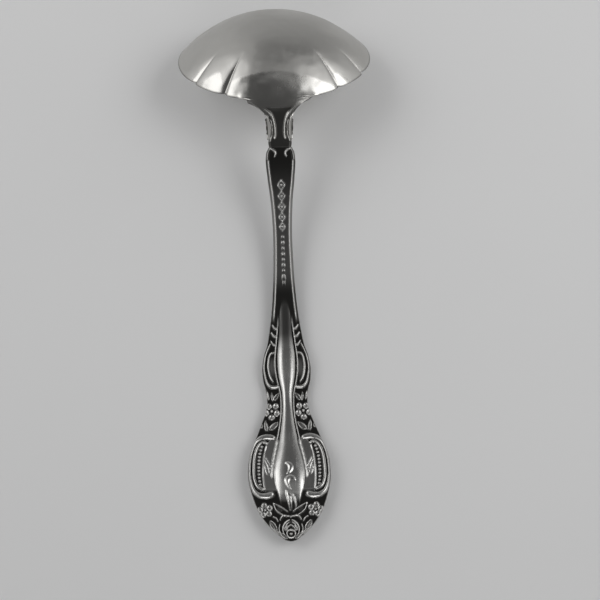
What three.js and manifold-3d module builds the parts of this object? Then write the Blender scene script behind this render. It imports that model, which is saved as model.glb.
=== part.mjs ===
// A sauce ladle in stainless steel, lying face down the way it comes to rest on a table.
// Two pieces are butt-welded at the neck: a pressed bowl with a short shank, and a die-struck handle.
//
// Bench frame, used while shaping: the rim lies in z = 0 with the dome above it, and the bowl's centre is
// the origin. +X runs across the ladle and +Y from the handle to the bowl's far end. The handle hangs below.
// Part frame, used for the finished solids: the table is z = 0, with the footprint's middle as the origin.
import * as THREE from "three";
import { LoftGeometry } from "three/addons/geometries/LoftGeometry.js";
import { mergeVertices } from "three/addons/utils/BufferGeometryUtils.js";
import Module from "manifold-3d";

const wasm = await Module();
wasm.setup();

// ---------- driving dimensions, in millimetres and degrees ----------

const BOWL = {
  width: 60, // across the rim
  length: 50.5, // from the heel to the far end of the rim
  depth: 13.8, // from the rim's plane to the top of the dome
  wall: 1.2, // thickness at the dome
  rimWall: 1.5, // thickness at the rim, measured across it
  fullness: 2.3, // exponent of the dome's profile: a higher one is flatter on top and steeper at the rim
};

const FLUTE = {
  angles: [36.5, 61, 119, 143.5], // places round the rim, counted from the heel, on both sides
  turn: 5, // how far the whole set sits turned round from the heel
  depth: 1.3, // how far a flute is pinched in at the rim
  steepSpread: 0.9, // distance along the rim over which a flute fades by e, on the side of the nearer end
  shallowSpread: 2.0, // the same on the side of the bowl's flanks
  blunt: 0.5, // half width of the rounded bottom of a flute
  reach: 0.42, // share of the radius over which a flute runs up the wall
};

const HANDLE = {
  length: 136.5, // along the curve, from the tip to the rim
  tipRise: 24.3, // slope against the rim's plane at the tip
  neckRise: 65.3, // the same where the shank meets the bowl
  bendPower: 2.5, // how late the bend comes: a higher power bends more of it near the neck
  edge: 2.0, // thickness at the struck end's border
  stem: 3.0, // thickness of the plain stem
  spineHeight: 0.7, // how far the middle spine stands above the ground on each face
  spineRoundness: 0.7, // exponent of the spine's profile: a lower one is fuller
  borderShare: 0.45, // share of the thickness that is left at the border
  borderRoundness: 4, // exponent of the border's profile: a higher one keeps the face flat for longer
  tipShare: 0.5, // share of the thickness that is left at the tip
  tipTaper: 3, // half width at which the tip has its full thickness
  tipHalfWidth: 0.35, // half width of the small flat at the tip
};

const SHANK = {
  length: 14.7, // from the rim back to the weld
  flare: 13, // half width where the shank has run out into the wall
  overlap: 2.5, // how far the shank runs up the wall past the rim before it is trimmed
  thinFrom: 6, // distance from the rim at which it begins to thin toward the wall
  weldGap: 0.1, // clearance left for the weld between shank and handle
};

const TABLE = {
  landDepth: 0.12, // depth of the worn flat where the ladle rests
};

const MESH = {
  bowlColumns: 150,
  bowlRings: 12,
  bowlTop: 0.07, // share of the radius taken by the small flat at the top
  stationStep: 2.1, // spacing of the handle's sections
  shankStations: 14,
  lineSteps: 60, // steps in which the middle line is measured
  poseSteps: 50, // halvings in which the resting tilt is found
  sectionPoints: 13, // points across each face of a section
};

const STEEL = { color: 0xb9b7b3, metalness: 1.0 };

// ---------- small helpers ----------

const QUARTER_TURN = 90;
const radians = THREE.MathUtils.degToRad;

// The value at a place, through [place, value] pairs, with no corner at a pair.
function along(pairs, place) {
  const last = pairs.length - 1;
  if (place <= pairs[0][0]) return pairs[0][1];
  if (place >= pairs[last][0]) return pairs[last][1];
  const next = pairs.findIndex(([at]) => at > place);
  const [start, before] = pairs[next - 1];
  const [end, after] = pairs[next];
  return THREE.MathUtils.lerp(before, after, THREE.MathUtils.smoothstep(place, start, end));
}

// A closed geometry as a manifold-3d solid.
function solidOf(geometry) {
  const bare = new THREE.BufferGeometry();
  bare.setAttribute("position", geometry.getAttribute("position"));
  bare.setIndex(geometry.getIndex());
  const merged = mergeVertices(bare);
  const vertProperties = merged.getAttribute("position").array;
  const triVerts = new Uint32Array(merged.getIndex().array);
  return new wasm.Manifold(new wasm.Mesh({ numProp: 3, vertProperties, triVerts }));
}

// A solid skinned over a run of closed sections, each counterclockwise as seen from the run's end.
function loft(sections) {
  return solidOf(new LoftGeometry(sections, { capStart: true, capEnd: true }));
}

// A manifold-3d solid as a geometry.
function geometryOf(solid) {
  const mesh = solid.getMesh();
  const positions = new Float32Array(mesh.numVert * 3);
  for (let i = 0; i < mesh.numVert; i++) {
    const first = i * mesh.numProp;
    positions.set(mesh.vertProperties.subarray(first, first + 3), i * 3);
  }
  const geometry = new THREE.BufferGeometry();
  geometry.setAttribute("position", new THREE.BufferAttribute(positions, 3));
  geometry.setIndex(new THREE.BufferAttribute(mesh.triVerts, 1));
  geometry.computeVertexNormals();
  return geometry;
}

// ---------- bowl ----------

// How deep the flutes pinch the rim at an angle counted from the heel, from 0 to 1 flute depth.
function pinch(angle) {
  const radius = (BOWL.width + BOWL.length) / 4;
  return FLUTE.angles
    .flatMap((place) => [place, -place])
    .map((place) => {
      const turn = angle - radians(FLUTE.turn + place);
      const away = Math.atan2(Math.sin(turn), Math.cos(turn)) * radius;
      const isNearHeel = Math.abs(place) < QUARTER_TURN;
      const isOnFlank = away * place > 0 === isNearHeel;
      const spread = isOnFlank ? FLUTE.shallowSpread : FLUTE.steepSpread;
      return Math.exp((FLUTE.blunt - Math.hypot(away, FLUTE.blunt)) / spread);
    })
    .reduce((deepest, share) => Math.max(deepest, share), 0);
}

// A point of a dome of the given half width, half length and depth. share is 0 at the top and 1 at the rim.
function domePoint(halfWidth, halfLength, depth, angle, share) {
  const faded = THREE.MathUtils.smoothstep(share, 1 - FLUTE.reach, 1);
  const radius = (BOWL.width + BOWL.length) / 4;
  const reach = share * (1 - (FLUTE.depth / radius) * pinch(angle) * faded);
  return new THREE.Vector3(
    halfWidth * reach * Math.sin(angle),
    -halfLength * reach * Math.cos(angle),
    depth * (1 - share ** BOWL.fullness),
  );
}

// The rings of one dome surface, from its rim up to its top.
function domeRings(halfWidth, halfLength, depth) {
  return Array.from({ length: MESH.bowlRings }, (_, ring) => {
    const share = Math.max(1 - ring / (MESH.bowlRings - 1), MESH.bowlTop);
    return Array.from({ length: MESH.bowlColumns }, (_, column) =>
      domePoint(halfWidth, halfLength, depth, (2 * Math.PI * column) / MESH.bowlColumns, share),
    );
  });
}

// The bowl as if it were full to the rim.
function domeSolid() {
  return loft(domeRings(BOWL.width / 2, BOWL.length / 2, BOWL.depth));
}

// The room inside the bowl, run on below the rim so that it trims the shell and the shank cleanly.
function cavitySolid() {
  const { width, length, depth, wall, rimWall } = BOWL;
  const rings = domeRings(width / 2 - rimWall, length / 2 - rimWall, depth - wall);
  const below = rings[0].map((point) => point.clone().setZ(-depth));
  return loft([below, ...rings]);
}

// ---------- the line that the handle follows ----------

// Slope of the handle's middle line against the rim's plane, at a distance from the tip.
function riseAt(place) {
  const share = THREE.MathUtils.clamp(place / HANDLE.length, 0, 1);
  return radians(HANDLE.tipRise + (HANDLE.neckRise - HANDLE.tipRise) * share ** HANDLE.bendPower);
}

// The middle line's [y, z] at a distance from the tip. It ends in the middle of the rim's wall at the heel.
function lineAt(place) {
  const step = (HANDLE.length - place) / MESH.lineSteps;
  let y = -(BOWL.length - BOWL.rimWall) / 2;
  let z = 0;
  for (let i = 0; i < MESH.lineSteps; i++) {
    const rise = riseAt(HANDLE.length - (i + 0.5) * step);
    y -= Math.cos(rise) * step;
    z -= Math.sin(rise) * step;
  }
  return [y, z];
}

const weldPlace = HANDLE.length - SHANK.length;

// Half width of the struck handle, as [distance from the tip, half width].
const PLAN = [
  [0, 0],
  [0.4, 1.6],
  [2.9, 4.5],
  [6.1, 7.2],
  [9.2, 8.9],
  [13.1, 10.3],
  [19, 11.5],
  [23, 11.45],
  [28.8, 10.1],
  [32.1, 8.8],
  [35.5, 7.6],
  [38.9, 6.4],
  [42.2, 5.7],
  [45.6, 5.9],
  [49, 6.8],
  [52.5, 7.0],
  [57, 6.4],
  [60.4, 5.3],
  [64.2, 4.6],
  [69.5, 3.9],
  [75, 3.35],
  [94.4, 2.7],
  [weldPlace - 15, 3.3],
  [weldPlace - 4, 4.3],
  [weldPlace, 3.6],
];

// Half width of the raised middle spine: a drop on the struck end, a waist, a swell and the stem's panel.
const SPINE = [
  [9, 0.2],
  [14, 3.8],
  [20, 5.1],
  [27, 4.2],
  [34, 2.2],
  [41, 1.2],
  [46, 1.7],
  [54, 3.1],
  [62, 2.8],
  [75, 1.9],
  [weldPlace, 2.4],
];

// Half width of the shank, from the weld up to where it has run out into the wall.
const SHANK_PLAN = [
  [weldPlace, 3.6],
  [HANDLE.length - 9.6, 3.45],
  [HANDLE.length - 6.5, 3.85],
  [HANDLE.length - 4.2, 5.1],
  [HANDLE.length - 2.4, 7.3],
  [HANDLE.length - 0.4, 10.3],
  [HANDLE.length + SHANK.overlap, SHANK.flare],
];

// Thickness of the blank, as [distance from the tip, thickness].
const THICKNESS = [
  [45, HANDLE.edge],
  [80, HANDLE.stem],
];

// One closed section of the handle or the shank, square to the middle line, with a rounded border.
function section(place, halfWidth, half, raise) {
  const [y, z] = lineAt(place);
  const rise = riseAt(place);
  const spineHalf = along(SPINE, place);
  const across = Array.from(
    { length: MESH.sectionPoints },
    (_, i) => -Math.cos((Math.PI * i) / (MESH.sectionPoints - 1)),
  );
  const face = (share, side) => {
    const x = share * halfWidth;
    const border = Math.sqrt(Math.max(1 - share ** HANDLE.borderRoundness, 0));
    const crown = raise * Math.max(1 - (x / spineHalf) ** 2, 0) ** HANDLE.spineRoundness;
    const height = side * (half * THREE.MathUtils.lerp(HANDLE.borderShare, 1, border) + crown);
    return new THREE.Vector3(x, y - Math.sin(rise) * height, z + Math.cos(rise) * height);
  };
  return [
    ...across.map((share) => face(share, 1)),
    ...across.reverse().map((share) => face(share, -1)),
  ];
}

function handleSolid() {
  const outline = new THREE.SplineCurve(PLAN.map(([place, half]) => new THREE.Vector2(place, half)));
  const end = weldPlace - SHANK.weldGap;
  const count = Math.round(outline.getLength() / MESH.stationStep);
  const sections = outline
    .getSpacedPoints(count)
    .map(({ x: place, y: half }) => [Math.min(place, end), Math.max(half, HANDLE.tipHalfWidth)])
    .map(([place, half]) => {
      const taper = THREE.MathUtils.smoothstep(half, 0, HANDLE.tipTaper);
      const thickness = along(THICKNESS, place);
      const spine = HANDLE.spineHeight * taper;
      return section(place, half, (thickness / 2) * THREE.MathUtils.lerp(HANDLE.tipShare, 1, taper), spine);
    });
  return loft(sections);
}

// A point of the shank moved toward the bowl as far as the oval rim curves away from its heel there.
function wrapped(point, share) {
  const across = point.x / (BOWL.width / 2);
  const away = (BOWL.length / 2) * (1 - Math.sqrt(1 - across ** 2));
  return new THREE.Vector3(point.x, point.y + share * away, point.z);
}

// The shank grows out of the bowl's heel. It is joined to the shell, and the room inside stays clear.
function shankSolid() {
  const outline = new THREE.SplineCurve(SHANK_PLAN.map(([place, half]) => new THREE.Vector2(place, half)));
  const end = HANDLE.length + SHANK.overlap;
  const sections = outline.getSpacedPoints(MESH.shankStations).map(({ x: place, y: half }) => {
    const thinning = THREE.MathUtils.smoothstep(place, HANDLE.length - SHANK.thinFrom, end);
    const thickness = THREE.MathUtils.lerp(HANDLE.stem, BOWL.rimWall, thinning);
    return section(place, half, thickness / 2, 0).map((point) => wrapped(point, thinning));
  });
  return loft(sections);
}

// ---------- resting on the table ----------

// The tilt and height at which the ladle stands on the bowl's far rim and the handle's underside, face down.
function restingPose(solids) {
  const points = solids.flatMap((solid) => {
    const mesh = solid.getMesh();
    return Array.from({ length: mesh.numVert }, (_, i) => {
      const first = i * mesh.numProp;
      return [mesh.vertProperties[first + 1], mesh.vertProperties[first + 2]];
    });
  });
  const lowest = (tilt, keep) => {
    const heights = points.filter(keep).map(([y, z]) => y * Math.sin(tilt) + z * Math.cos(tilt));
    return Math.min(...heights);
  };
  const isBowl = ([y]) => y > 0;
  let [low, high] = [-Math.PI / 2, 0];
  for (let i = 0; i < MESH.poseSteps; i++) {
    const tilt = (low + high) / 2;
    const bowlIsLower = lowest(tilt, isBowl) < lowest(tilt, (point) => !isBowl(point));
    [low, high] = bowlIsLower ? [tilt, high] : [low, tilt];
  }
  const tilt = (low + high) / 2;
  return { tilt, floor: lowest(tilt, () => true) };
}

// ---------- the assembly ----------

const bowlBench = domeSolid().add(shankSolid()).subtract(cavitySolid());
const handleBench = handleSolid();
const { tilt, floor } = restingPose([bowlBench, handleBench]);

const standing = new THREE.Matrix4()
  .makeTranslation(0, 0, -floor - TABLE.landDepth)
  .multiply(new THREE.Matrix4().makeRotationX(tilt));

// Everything under the table's top, to grind the worn flats with.
function tableSolid() {
  const size = 4 * (HANDLE.length + BOWL.length);
  return solidOf(new THREE.BoxGeometry(size, size, size).translate(0, 0, -size / 2));
}

function stood(solid) {
  return solidOf(geometryOf(solid).applyMatrix4(standing)).subtract(tableSolid());
}

const pieces = { bowl: stood(bowlBench), handle: stood(handleBench) };
const footprint = new THREE.Box3();
for (const solid of Object.values(pieces)) {
  footprint.union(new THREE.Box3().setFromBufferAttribute(geometryOf(solid).getAttribute("position")));
}
const middle = (footprint.min.y + footprint.max.y) / 2;

const FINISH = {
  bowl: { roughness: 0.34 }, // satin from washing
  handle: { roughness: 0.2 }, // struck and polished
};

const ladle = new THREE.Group();
ladle.name = "sauce_ladle";
for (const [name, solid] of Object.entries(pieces)) {
  const material = new THREE.MeshStandardMaterial({ ...STEEL, ...FINISH[name] });
  const mesh = new THREE.Mesh(geometryOf(solid).translate(0, -middle, 0), material);
  mesh.name = name;
  ladle.add(mesh);
}

export default ladle;
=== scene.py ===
"""A small steel sauce ladle lying face down: a fluted, pressed bowl and a die-struck handle.

Two frames are used. The bench frame holds the ladle by its bowl, in millimetres: the rim lies in
z = 0 with the dome above it, and the bowl's centre is the origin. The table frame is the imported
model's own, in metres.
"""

import logging
import math
from collections.abc import Sequence
from dataclasses import dataclass, field
from enum import Enum
from typing import Any

import bmesh
import bpy
import numpy as np
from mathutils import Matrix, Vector


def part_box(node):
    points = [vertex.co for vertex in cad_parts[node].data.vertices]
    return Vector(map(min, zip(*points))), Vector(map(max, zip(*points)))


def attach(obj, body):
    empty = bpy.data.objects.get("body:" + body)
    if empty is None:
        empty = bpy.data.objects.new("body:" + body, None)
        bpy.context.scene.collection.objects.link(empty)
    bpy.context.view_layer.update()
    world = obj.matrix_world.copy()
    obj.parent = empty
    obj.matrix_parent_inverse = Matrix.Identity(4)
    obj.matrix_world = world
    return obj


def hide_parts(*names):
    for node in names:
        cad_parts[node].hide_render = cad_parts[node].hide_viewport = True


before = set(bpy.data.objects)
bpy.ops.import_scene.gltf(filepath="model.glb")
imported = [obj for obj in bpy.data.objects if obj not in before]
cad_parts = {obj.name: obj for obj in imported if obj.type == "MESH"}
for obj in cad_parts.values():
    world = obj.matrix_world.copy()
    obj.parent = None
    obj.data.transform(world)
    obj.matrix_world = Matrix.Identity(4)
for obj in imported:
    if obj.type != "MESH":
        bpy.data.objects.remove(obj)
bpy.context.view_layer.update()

MM = 0.001
LOG = logging.getLogger("sauce_ladle")

Array = np.ndarray
Mesh = bmesh.types.BMesh
Piece = bpy.types.Object
# A table lists places and the sizes there. A run's places: something starts, is full, fades, is gone.
Table = tuple[tuple[float, float], ...]
Run = tuple[float, float, float, float]


# ---------------------------------------------------------------- curves and blends


def smoothstep(value: Array | float, low: float, high: float) -> Array:
    """Blends from 0 at low to 1 at high with no corner at either end.

    Args:
        value: Where to read the blend.
        low: The value that gives 0.
        high: The value that gives 1.

    Returns:
        The blend, between 0 and 1.
    """
    share = unit((np.asarray(value, dtype=float) - low) / (high - low))
    return share * share * (3.0 - 2.0 * share)


def between(value: Array | float, run: Run) -> Array:
    """Blends from 0 to 1 over the run's first two values, and back to 0 over its last two."""
    return smoothstep(value, *run[:2]) * (1.0 - smoothstep(value, *run[2:]))


def unit(value: Array) -> Array:
    """Clips values to the range from 0 to 1."""
    return np.clip(value, 0.0, 1.0)


def hill(value: Array, centre: Array | float, width: float) -> Array:
    """Gives a bell curve that is 1 at its centre."""
    return np.exp(-(((value - centre) / width) ** 2))


def eased(pairs: Table, place: Array) -> Array:
    """Reads a size along a smooth curve through pairs, with no overshoot between them.

    Args:
        pairs: Places and sizes, in rising order of place.
        place: Where to read the size.

    Returns:
        The size at each place.
    """
    at = np.array([pair[0] for pair in pairs])
    size = np.array([pair[1] for pair in pairs])
    step = np.diff(at)
    slope = np.diff(size) / step
    middle = np.zeros(len(at))
    same_way = slope[:-1] * slope[1:] > 0
    harmonic = 2.0 * slope[:-1] * slope[1:] / np.where(same_way, slope[:-1] + slope[1:], 1.0)
    middle[1:-1] = np.where(same_way, harmonic, 0.0)
    middle[0], middle[-1] = slope[0], slope[-1]
    where = np.clip(np.asarray(place, dtype=float), at[0], at[-1])
    index = np.clip(np.searchsorted(at, where, side="right") - 1, 0, len(step) - 1)
    t = (where - at[index]) / step[index]
    return (
        size[index] * (1 + 2 * t) * (1 - t) ** 2
        + middle[index] * step[index] * t * (1 - t) ** 2
        + size[index + 1] * t**2 * (3 - 2 * t)
        + middle[index + 1] * step[index] * t**2 * (t - 1)
    )


def rounded_route(points: Sequence[Sequence[float]], steps: int = 10) -> Array:
    """Threads one smooth curve through points, as a Catmull-Rom spline.

    Args:
        points: The points, each with any number of coordinates.
        steps: How many steps to take between two points.

    Returns:
        The curve's points, one row each.
    """
    knots = np.array(points, dtype=float)
    if len(knots) < 3:
        return np.linspace(knots[0], knots[-1], steps + 1)
    padded = np.vstack([2 * knots[0] - knots[1], knots, 2 * knots[-1] - knots[-2]])
    share = np.linspace(0.0, 1.0, steps, endpoint=False)[:, None]
    runs = []
    for a, b, c, d in zip(padded[:-3], padded[1:-2], padded[2:-1], padded[3:]):
        bend = (2 * a - 5 * b + 4 * c - d) * share**2 + (3 * b - a - 3 * c + d) * share**3
        runs.append(0.5 * (2 * b + (c - a) * share + bend))
    return np.vstack([*runs, knots[-1:]])


# ---------------------------------------------------------------- the ladle's lines


@dataclass(frozen=True)
class HandleLine:
    """The middle line of handle and shank, in the bench frame.

    A place is a distance along the line from the handle's tip, in millimetres.

    Attributes:
        tip_rise: Its slope against the rim's plane at the tip, in degrees.
        neck_rise: Its slope at the heel, in degrees.
        bend_power: How late the slope changes: a higher power keeps the stem straighter.
        end_y: Where the line ends along the bowl.
    """

    length: float = 136.5
    tip_rise: float = 24.3
    neck_rise: float = 65.3
    bend_power: float = 2.5
    end_y: float = -24.5
    weld: float = 121.8
    samples: int = 900

    def rise(self, place: Array | float) -> Array:
        """Gives the line's slope against the rim's plane, in radians, at each place."""
        share = unit(np.asarray(place, dtype=float) / self.length)
        return np.radians(self.tip_rise + (self.neck_rise - self.tip_rise) * share**self.bend_power)

    def at(self, place: Array | float) -> tuple[Array, Array]:
        """Finds the line's points.

        Args:
            place: Distances from the tip.

        Returns:
            The y and z of each point. The line ends in the middle of the rim's wall at the heel.
        """
        stations = np.linspace(0.0, self.length, self.samples)
        step = stations[1]
        rise = self.rise(stations[:-1] + step / 2)
        run = np.concatenate([[0.0], np.cumsum(np.cos(rise)) * step])
        climb = np.concatenate([[0.0], np.cumsum(np.sin(rise)) * step])
        y = np.interp(place, stations, run - run[-1]) + self.end_y
        z = np.interp(place, stations, climb - climb[-1])
        return y, z

    def lifted(self, place: Array, height: Array | float) -> tuple[Array, Array]:
        """Finds points at a height off the line, square to it.

        Args:
            place: Distances from the tip.
            height: Heights above the line, negative for the underside.

        Returns:
            The y and z of each point.
        """
        y, z = self.at(place)
        rise = self.rise(place)
        return y - np.sin(rise) * height, z + np.cos(rise) * height


@dataclass(frozen=True)
class Stance:
    """How the bench frame stands in the table frame.

    Attributes:
        tilt: Turn about X, in radians.
        lift: Height of the bench's origin over the table, in millimetres.
        slide: Its distance along the table, in millimetres.
    """

    tilt: float
    lift: float
    slide: float

    def placed(self, x: Array, y: Array, z: Array) -> Array:
        """Moves bench points, in millimetres, onto the table, in metres.

        Args:
            x: The points' distances across.
            y: Their distances along.
            z: Their heights over the rim's plane.

        Returns:
            One row of table coordinates for each point. None lies below the table's top.
        """
        along = y * math.cos(self.tilt) - z * math.sin(self.tilt) + self.slide
        height = y * math.sin(self.tilt) + z * math.cos(self.tilt) + self.lift
        return np.stack([x, along, np.maximum(height, 0.01)], axis=-1) * MM

    @classmethod
    def resting(cls, line: HandleLine, far_rim: float, underside: float, land: float) -> "Stance":
        """Lays the ladle down on the bowl's far rim and the handle's underside.

        Args:
            line: The handle's middle line.
            far_rim: The y of the rim's far end.
            underside: How far the handle's underside is below its line.
            land: The depth of the worn flats.

        Returns:
            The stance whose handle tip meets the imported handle's.
        """
        y, z = line.lifted(np.linspace(0.0, line.weld, 400), -underside)

        def heights(tilt: float) -> tuple[float, float]:
            """Gives the heights of the far rim and of the handle's lowest point at a tilt."""
            return far_rim * math.sin(tilt), float(np.min(y * math.sin(tilt) + z * math.cos(tilt)))

        low, high = -math.pi / 2, 0.0
        for _ in range(50):
            tilt = (low + high) / 2
            rim, handle = heights(tilt)
            low, high = (tilt, high) if rim < handle else (low, tilt)
        tip_y, tip_z = line.at(0.0)
        tip = float(tip_y) * math.cos(tilt) - float(tip_z) * math.sin(tilt)
        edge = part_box("handle")[0][1] / MM
        return cls(tilt=tilt, lift=-min(heights(tilt)) - land, slide=edge - tip)


# ---------------------------------------------------------------- the die: what is struck into the handle


class Sides(Enum):
    """Where on a face a motif is struck."""

    BOTH = "mirrored left and right"
    AS_DRAWN = "once, as drawn"


@dataclass(frozen=True)
class Motif:
    """One raised figure of the die. Places run along the handle and offsets across it.

    Attributes:
        sides: Whether the figure has a mirror image.
    """

    sides: Sides = field(default=Sides.BOTH, kw_only=True)

    def raised(self, place: Array, offset: Array) -> Array:
        """Gives the height of the figure at each point, 0 where it isn't."""
        raise NotImplementedError

    def struck(self, place: Array, offset: Array) -> Array:
        """Gives the figure's height with its mirror image, where it has one."""
        return self.raised(place, np.abs(offset) if self.sides is Sides.BOTH else offset)


@dataclass(frozen=True)
class Scroll(Motif):
    """A bar that follows a curve, with round ends.

    Attributes:
        route: Place, offset and half width of the bar at points along it.
        height: How high it stands.
        crown: Exponent of its cross-section: 2 is a half round, and a higher one is flatter on top.
    """

    route: tuple[tuple[float, float, float], ...]
    height: float
    crown: float = 2.0

    def raised(self, place: Array, offset: Array) -> Array:
        """Finds the bar's height at each point, 0 where it isn't.

        Args:
            place: The points' distances from the tip.
            offset: Their distances from the middle line.

        Returns:
            The height over the ground.
        """
        curve = rounded_route(self.route)
        reach = curve[:, 2].max()
        low, high = curve[:, :2].min(axis=0) - reach, curve[:, :2].max(axis=0) + reach
        near = (place > low[0]) & (place < high[0]) & (offset > low[1]) & (offset < high[1])
        height = np.zeros_like(place)
        points = np.stack([place[near], offset[near]], axis=-1)
        if not len(points):
            return height
        start, run = curve[:-1], np.diff(curve, axis=0)
        length = np.maximum((run[:, :2] ** 2).sum(axis=1), 1e-9)
        best = np.zeros(len(points))
        for a, d, square in zip(start, run, length):
            share = unit(((points - a[:2]) @ d[:2]) / square)
            gap = np.linalg.norm(points - a[:2] - share[:, None] * d[:2], axis=1)
            inside = unit(1.0 - (gap / (a[2] + share * d[2])) ** self.crown)
            best = np.maximum(best, inside)
        height[near] = self.height * best ** (1.0 / self.crown)
        return height


@dataclass(frozen=True)
class Leaf(Motif):
    """A pointed leaf with a raised outline, a hollow blade and a vein.

    Attributes:
        base: Place and offset of its foot.
        tip: Place and offset of its point.
        half_width: Half its width at the widest.
        height: How high the outline stands.
        hollow: Share of the height that the blade keeps between outline and vein.
        vein: Height of the vein over the blade.
        vein_half: Half its width.
    """

    base: tuple[float, float]
    tip: tuple[float, float]
    half_width: float
    height: float = 0.6
    hollow: float = 0.45
    vein: float = 0.12
    vein_half: float = 0.16

    def raised(self, place: Array, offset: Array) -> Array:
        """Finds the leaf's height at each point, 0 where it isn't.

        Args:
            place: The points' distances from the tip.
            offset: Their distances from the middle line.

        Returns:
            The height over the ground.
        """
        axis = np.array(self.tip) - np.array(self.base)
        length = float(np.hypot(*axis))
        axis = axis / length
        forward = (place - self.base[0]) * axis[0] + (offset - self.base[1]) * axis[1]
        aside = (offset - self.base[1]) * axis[0] - (place - self.base[0]) * axis[1]
        share = unit(forward / length)
        width = self.half_width * np.maximum(np.sin(math.pi * share**0.85), 0.0) ** 0.8
        spread = np.abs(aside) / np.maximum(width, 1e-3)
        inside = (forward > 0) & (forward < length) & (spread < 1.0)
        wall = np.sqrt(unit(1.0 - spread**6))
        outline = smoothstep(spread, 0.35, 0.8)
        vein = self.vein * hill(aside, 0.0, self.vein_half)
        shape = self.height * (self.hollow + (1.0 - self.hollow) * outline) * wall + vein * wall
        return np.where(inside, shape, 0.0)


@dataclass(frozen=True)
class Boss(Motif):
    """A round knob, or a cupped petal where its middle is hollow.

    Attributes:
        place: Where its centre is along the handle.
        offset: Where its centre is across it.
        along: Half its length along the handle.
        across: Half its width across it.
        height: How high it stands.
        cup: Share of the height that is scooped out of its middle.
    """

    place: float
    offset: float
    along: float
    across: float
    height: float
    cup: float = 0.0

    def raised(self, place: Array, offset: Array) -> Array:
        """Finds the knob's height at each point, 0 where it isn't.

        Args:
            place: The points' distances from the tip.
            offset: Their distances from the middle line.

        Returns:
            The height over the ground.
        """
        spread = np.hypot((place - self.place) / self.along, (offset - self.offset) / self.across)
        body = np.sqrt(unit(1.0 - spread ** (2.0 + 4.0 * self.cup)))
        return self.height * body * (1.0 - self.cup * (1.0 - smoothstep(spread, 0.1, 0.85)))


def flower(place: float, offset: float, reach: float, turn: float, height: float = 0.68) -> list[Motif]:
    """Sets five cupped petals round a button.

    Args:
        place: Where the button is along the handle.
        offset: Where it is across it.
        reach: Distance from the button to the middle of a petal.
        turn: Turn of the first petal from the handle's direction, in degrees.
        height: How high the petals stand.

    Returns:
        The petals and the button.
    """
    petals: list[Motif] = []
    for petal in range(5):
        angle = math.radians(turn + 72.0 * petal)
        middle = (place + reach * math.cos(angle), offset + reach * math.sin(angle))
        petals.append(Boss(*middle, reach * 0.62, reach * 0.62, height, cup=0.75))
    return [*petals, Boss(place, offset, reach * 0.3, reach * 0.3, height)]


def bead_row(route: Sequence[tuple[float, float]], pitch: float) -> list[Motif]:
    """Strings oval beads along a curve.

    Args:
        route: Place and offset of points along the row.
        pitch: Spacing of the beads.

    Returns:
        The beads.
    """
    curve = rounded_route(route)
    travelled = np.concatenate([[0.0], np.cumsum(np.linalg.norm(np.diff(curve, axis=0), axis=1))])
    count = round(travelled[-1] / pitch)
    stops = np.linspace(0.0, travelled[-1], count + 1)
    places = np.interp(stops, travelled, curve[:, 0])
    offsets = np.interp(stops, travelled, curve[:, 1])
    return [Boss(float(p), float(o), 0.4, 0.56, 0.62) for p, o in zip(places, offsets)]


def tip_rose() -> list[Motif]:
    """Draws the half-open rose at the tip, under its ribbon, with its side leaves.

    Returns:
        The rose's motifs.
    """
    return [
        Scroll(
            ((1.0, 0.0, 0.2), (1.25, 0.85, 0.2), (2.1, 1.2, 0.24), (2.9, 0.85, 0.26), (3.3, 0.0, 0.26)),
            0.8,
        ),
        Boss(2.1, 0.0, 0.45, 0.5, 0.5),
        Boss(4.1, 1.45, 1.5, 0.75, 0.42),
        Scroll(((3.1, 1.3, 0.16), (4.1, 0.75, 0.22), (4.75, 0.0, 0.22)), 0.72),
        Scroll(
            ((2.2, 2.1, 0.22), (3.5, 2.3, 0.28), (4.7, 1.95, 0.32), (5.6, 1.2, 0.32), (6.05, 0.35, 0.2)),
            0.9,
        ),
        Scroll(((4.0, 1.55, 0.14), (4.9, 1.1, 0.2), (5.45, 0.3, 0.14)), 0.75),
        Scroll(((1.0, 1.9, 0.18), (2.1, 2.9, 0.22), (3.5, 3.3, 0.24), (4.9, 3.05, 0.2)), 0.6),
        Scroll(
            ((6.3, 2.95, 0.2), (6.9, 2.6, 0.28), (7.45, 2.0, 0.32), (7.3, 0.9, 0.27), (7.15, 0.0, 0.27)),
            0.85,
        ),
        Leaf((3.0, 4.0), (6.2, 5.9), 0.85, 0.66, hollow=0.25),
        Scroll(((5.9, 3.6, 0.2), (6.7, 4.0, 0.24), (7.2, 4.8, 0.22)), 0.6),
        Leaf((0.7, 1.0), (2.7, 3.6), 0.55, 0.55, hollow=0.3),
        Leaf((2.0, 3.4), (3.7, 4.7), 0.45, 0.5, hollow=0.5),
    ]


def spray_of_leaves() -> list[Motif]:
    """Draws the two open leaves that spread from under the drop.

    Returns:
        The leaves' outlines.
    """
    return [
        Scroll(((8.7, 0.85, 0.18), (9.6, 2.0, 0.24), (10.4, 3.2, 0.24), (11.2, 4.75, 0.16)), 0.72),
        Scroll(((7.6, 2.1, 0.18), (8.3, 3.1, 0.24), (9.3, 4.1, 0.24), (11.2, 4.75, 0.16)), 0.72),
        Boss(9.4, 3.2, 0.9, 0.9, 0.2),
    ]


def tall_leaf() -> list[Motif]:
    """Draws the tall leaf that stands between them, over the foot of the drop.

    Returns:
        The leaf's outline and its vein.
    """
    point = (14.7, -1.0, 0.1)
    left = (point, (13.2, -0.85, 0.2), (11.2, -0.45, 0.2), (9.0, -0.05, 0.15))
    right = (point, (13.8, 0.3, 0.2), (12.2, 1.25, 0.25), (10.4, 1.6, 0.25), (9.1, 1.35, 0.15))
    vein = ((13.0, 0.1, 0.1), (11.0, 0.3, 0.17), (9.0, 0.3, 0.14))
    return [Scroll(route, 0.3, sides=Sides.AS_DRAWN) for route in (left, right, vein)]


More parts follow.
